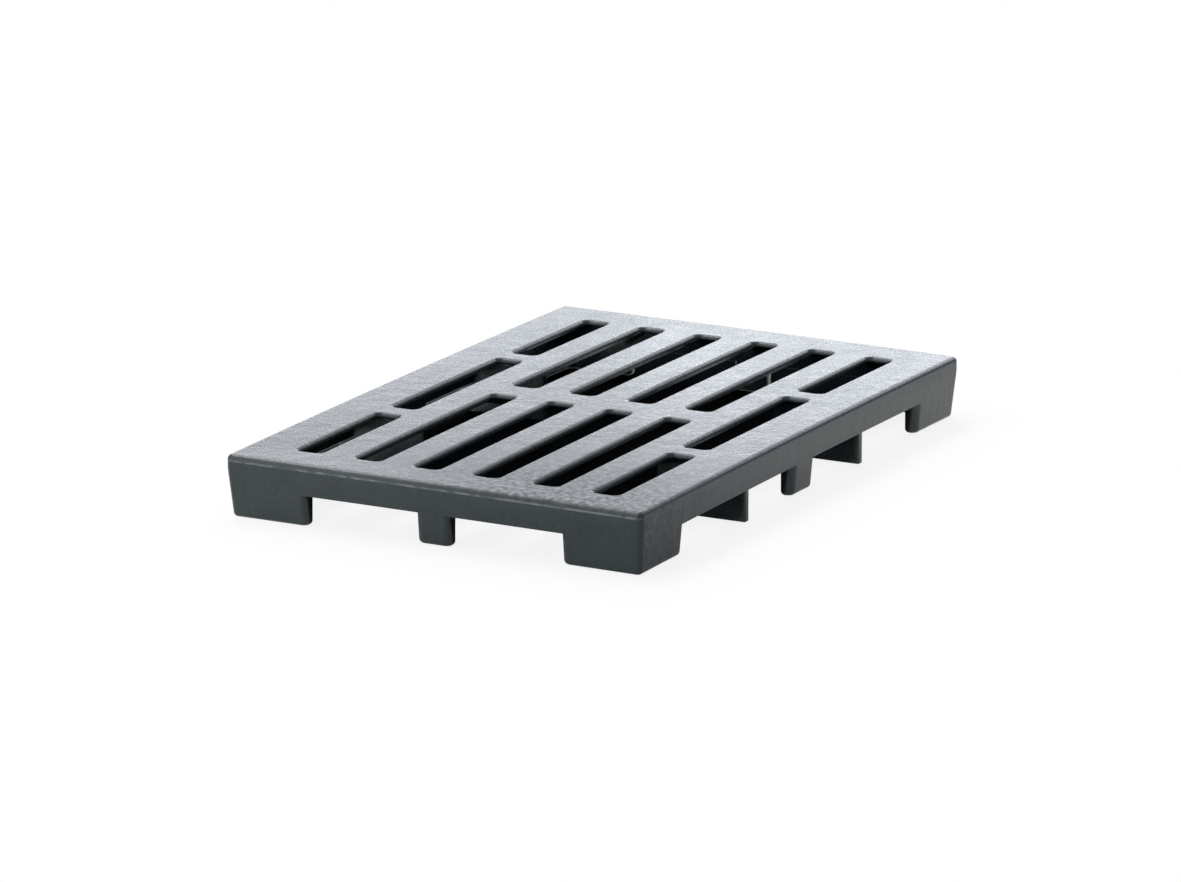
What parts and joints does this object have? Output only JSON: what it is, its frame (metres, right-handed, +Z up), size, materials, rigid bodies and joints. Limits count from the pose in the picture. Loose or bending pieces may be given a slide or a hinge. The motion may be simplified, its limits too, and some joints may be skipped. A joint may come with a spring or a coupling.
{
  "type": "utility drain grate",
  "caption": "Low moulded plastic drain grate: a thin oblong deck with long rounded slots, a deep rim all round, and short feet with open gaps between them.",
  "frame": {"origin": "on the ground under the middle of the deck", "axes": "+X along the short side, +Y along the long side, +Z up out of the deck"},
  "size_m": [0.4, 0.6, 0.057],
  "materials": {
    "moulded_plastic": "satin, fine-grained, dark grey"
  },
  "bodies": {
    "root": {"drain_grate": "moulded_plastic"}
  },
  "joints": []
}
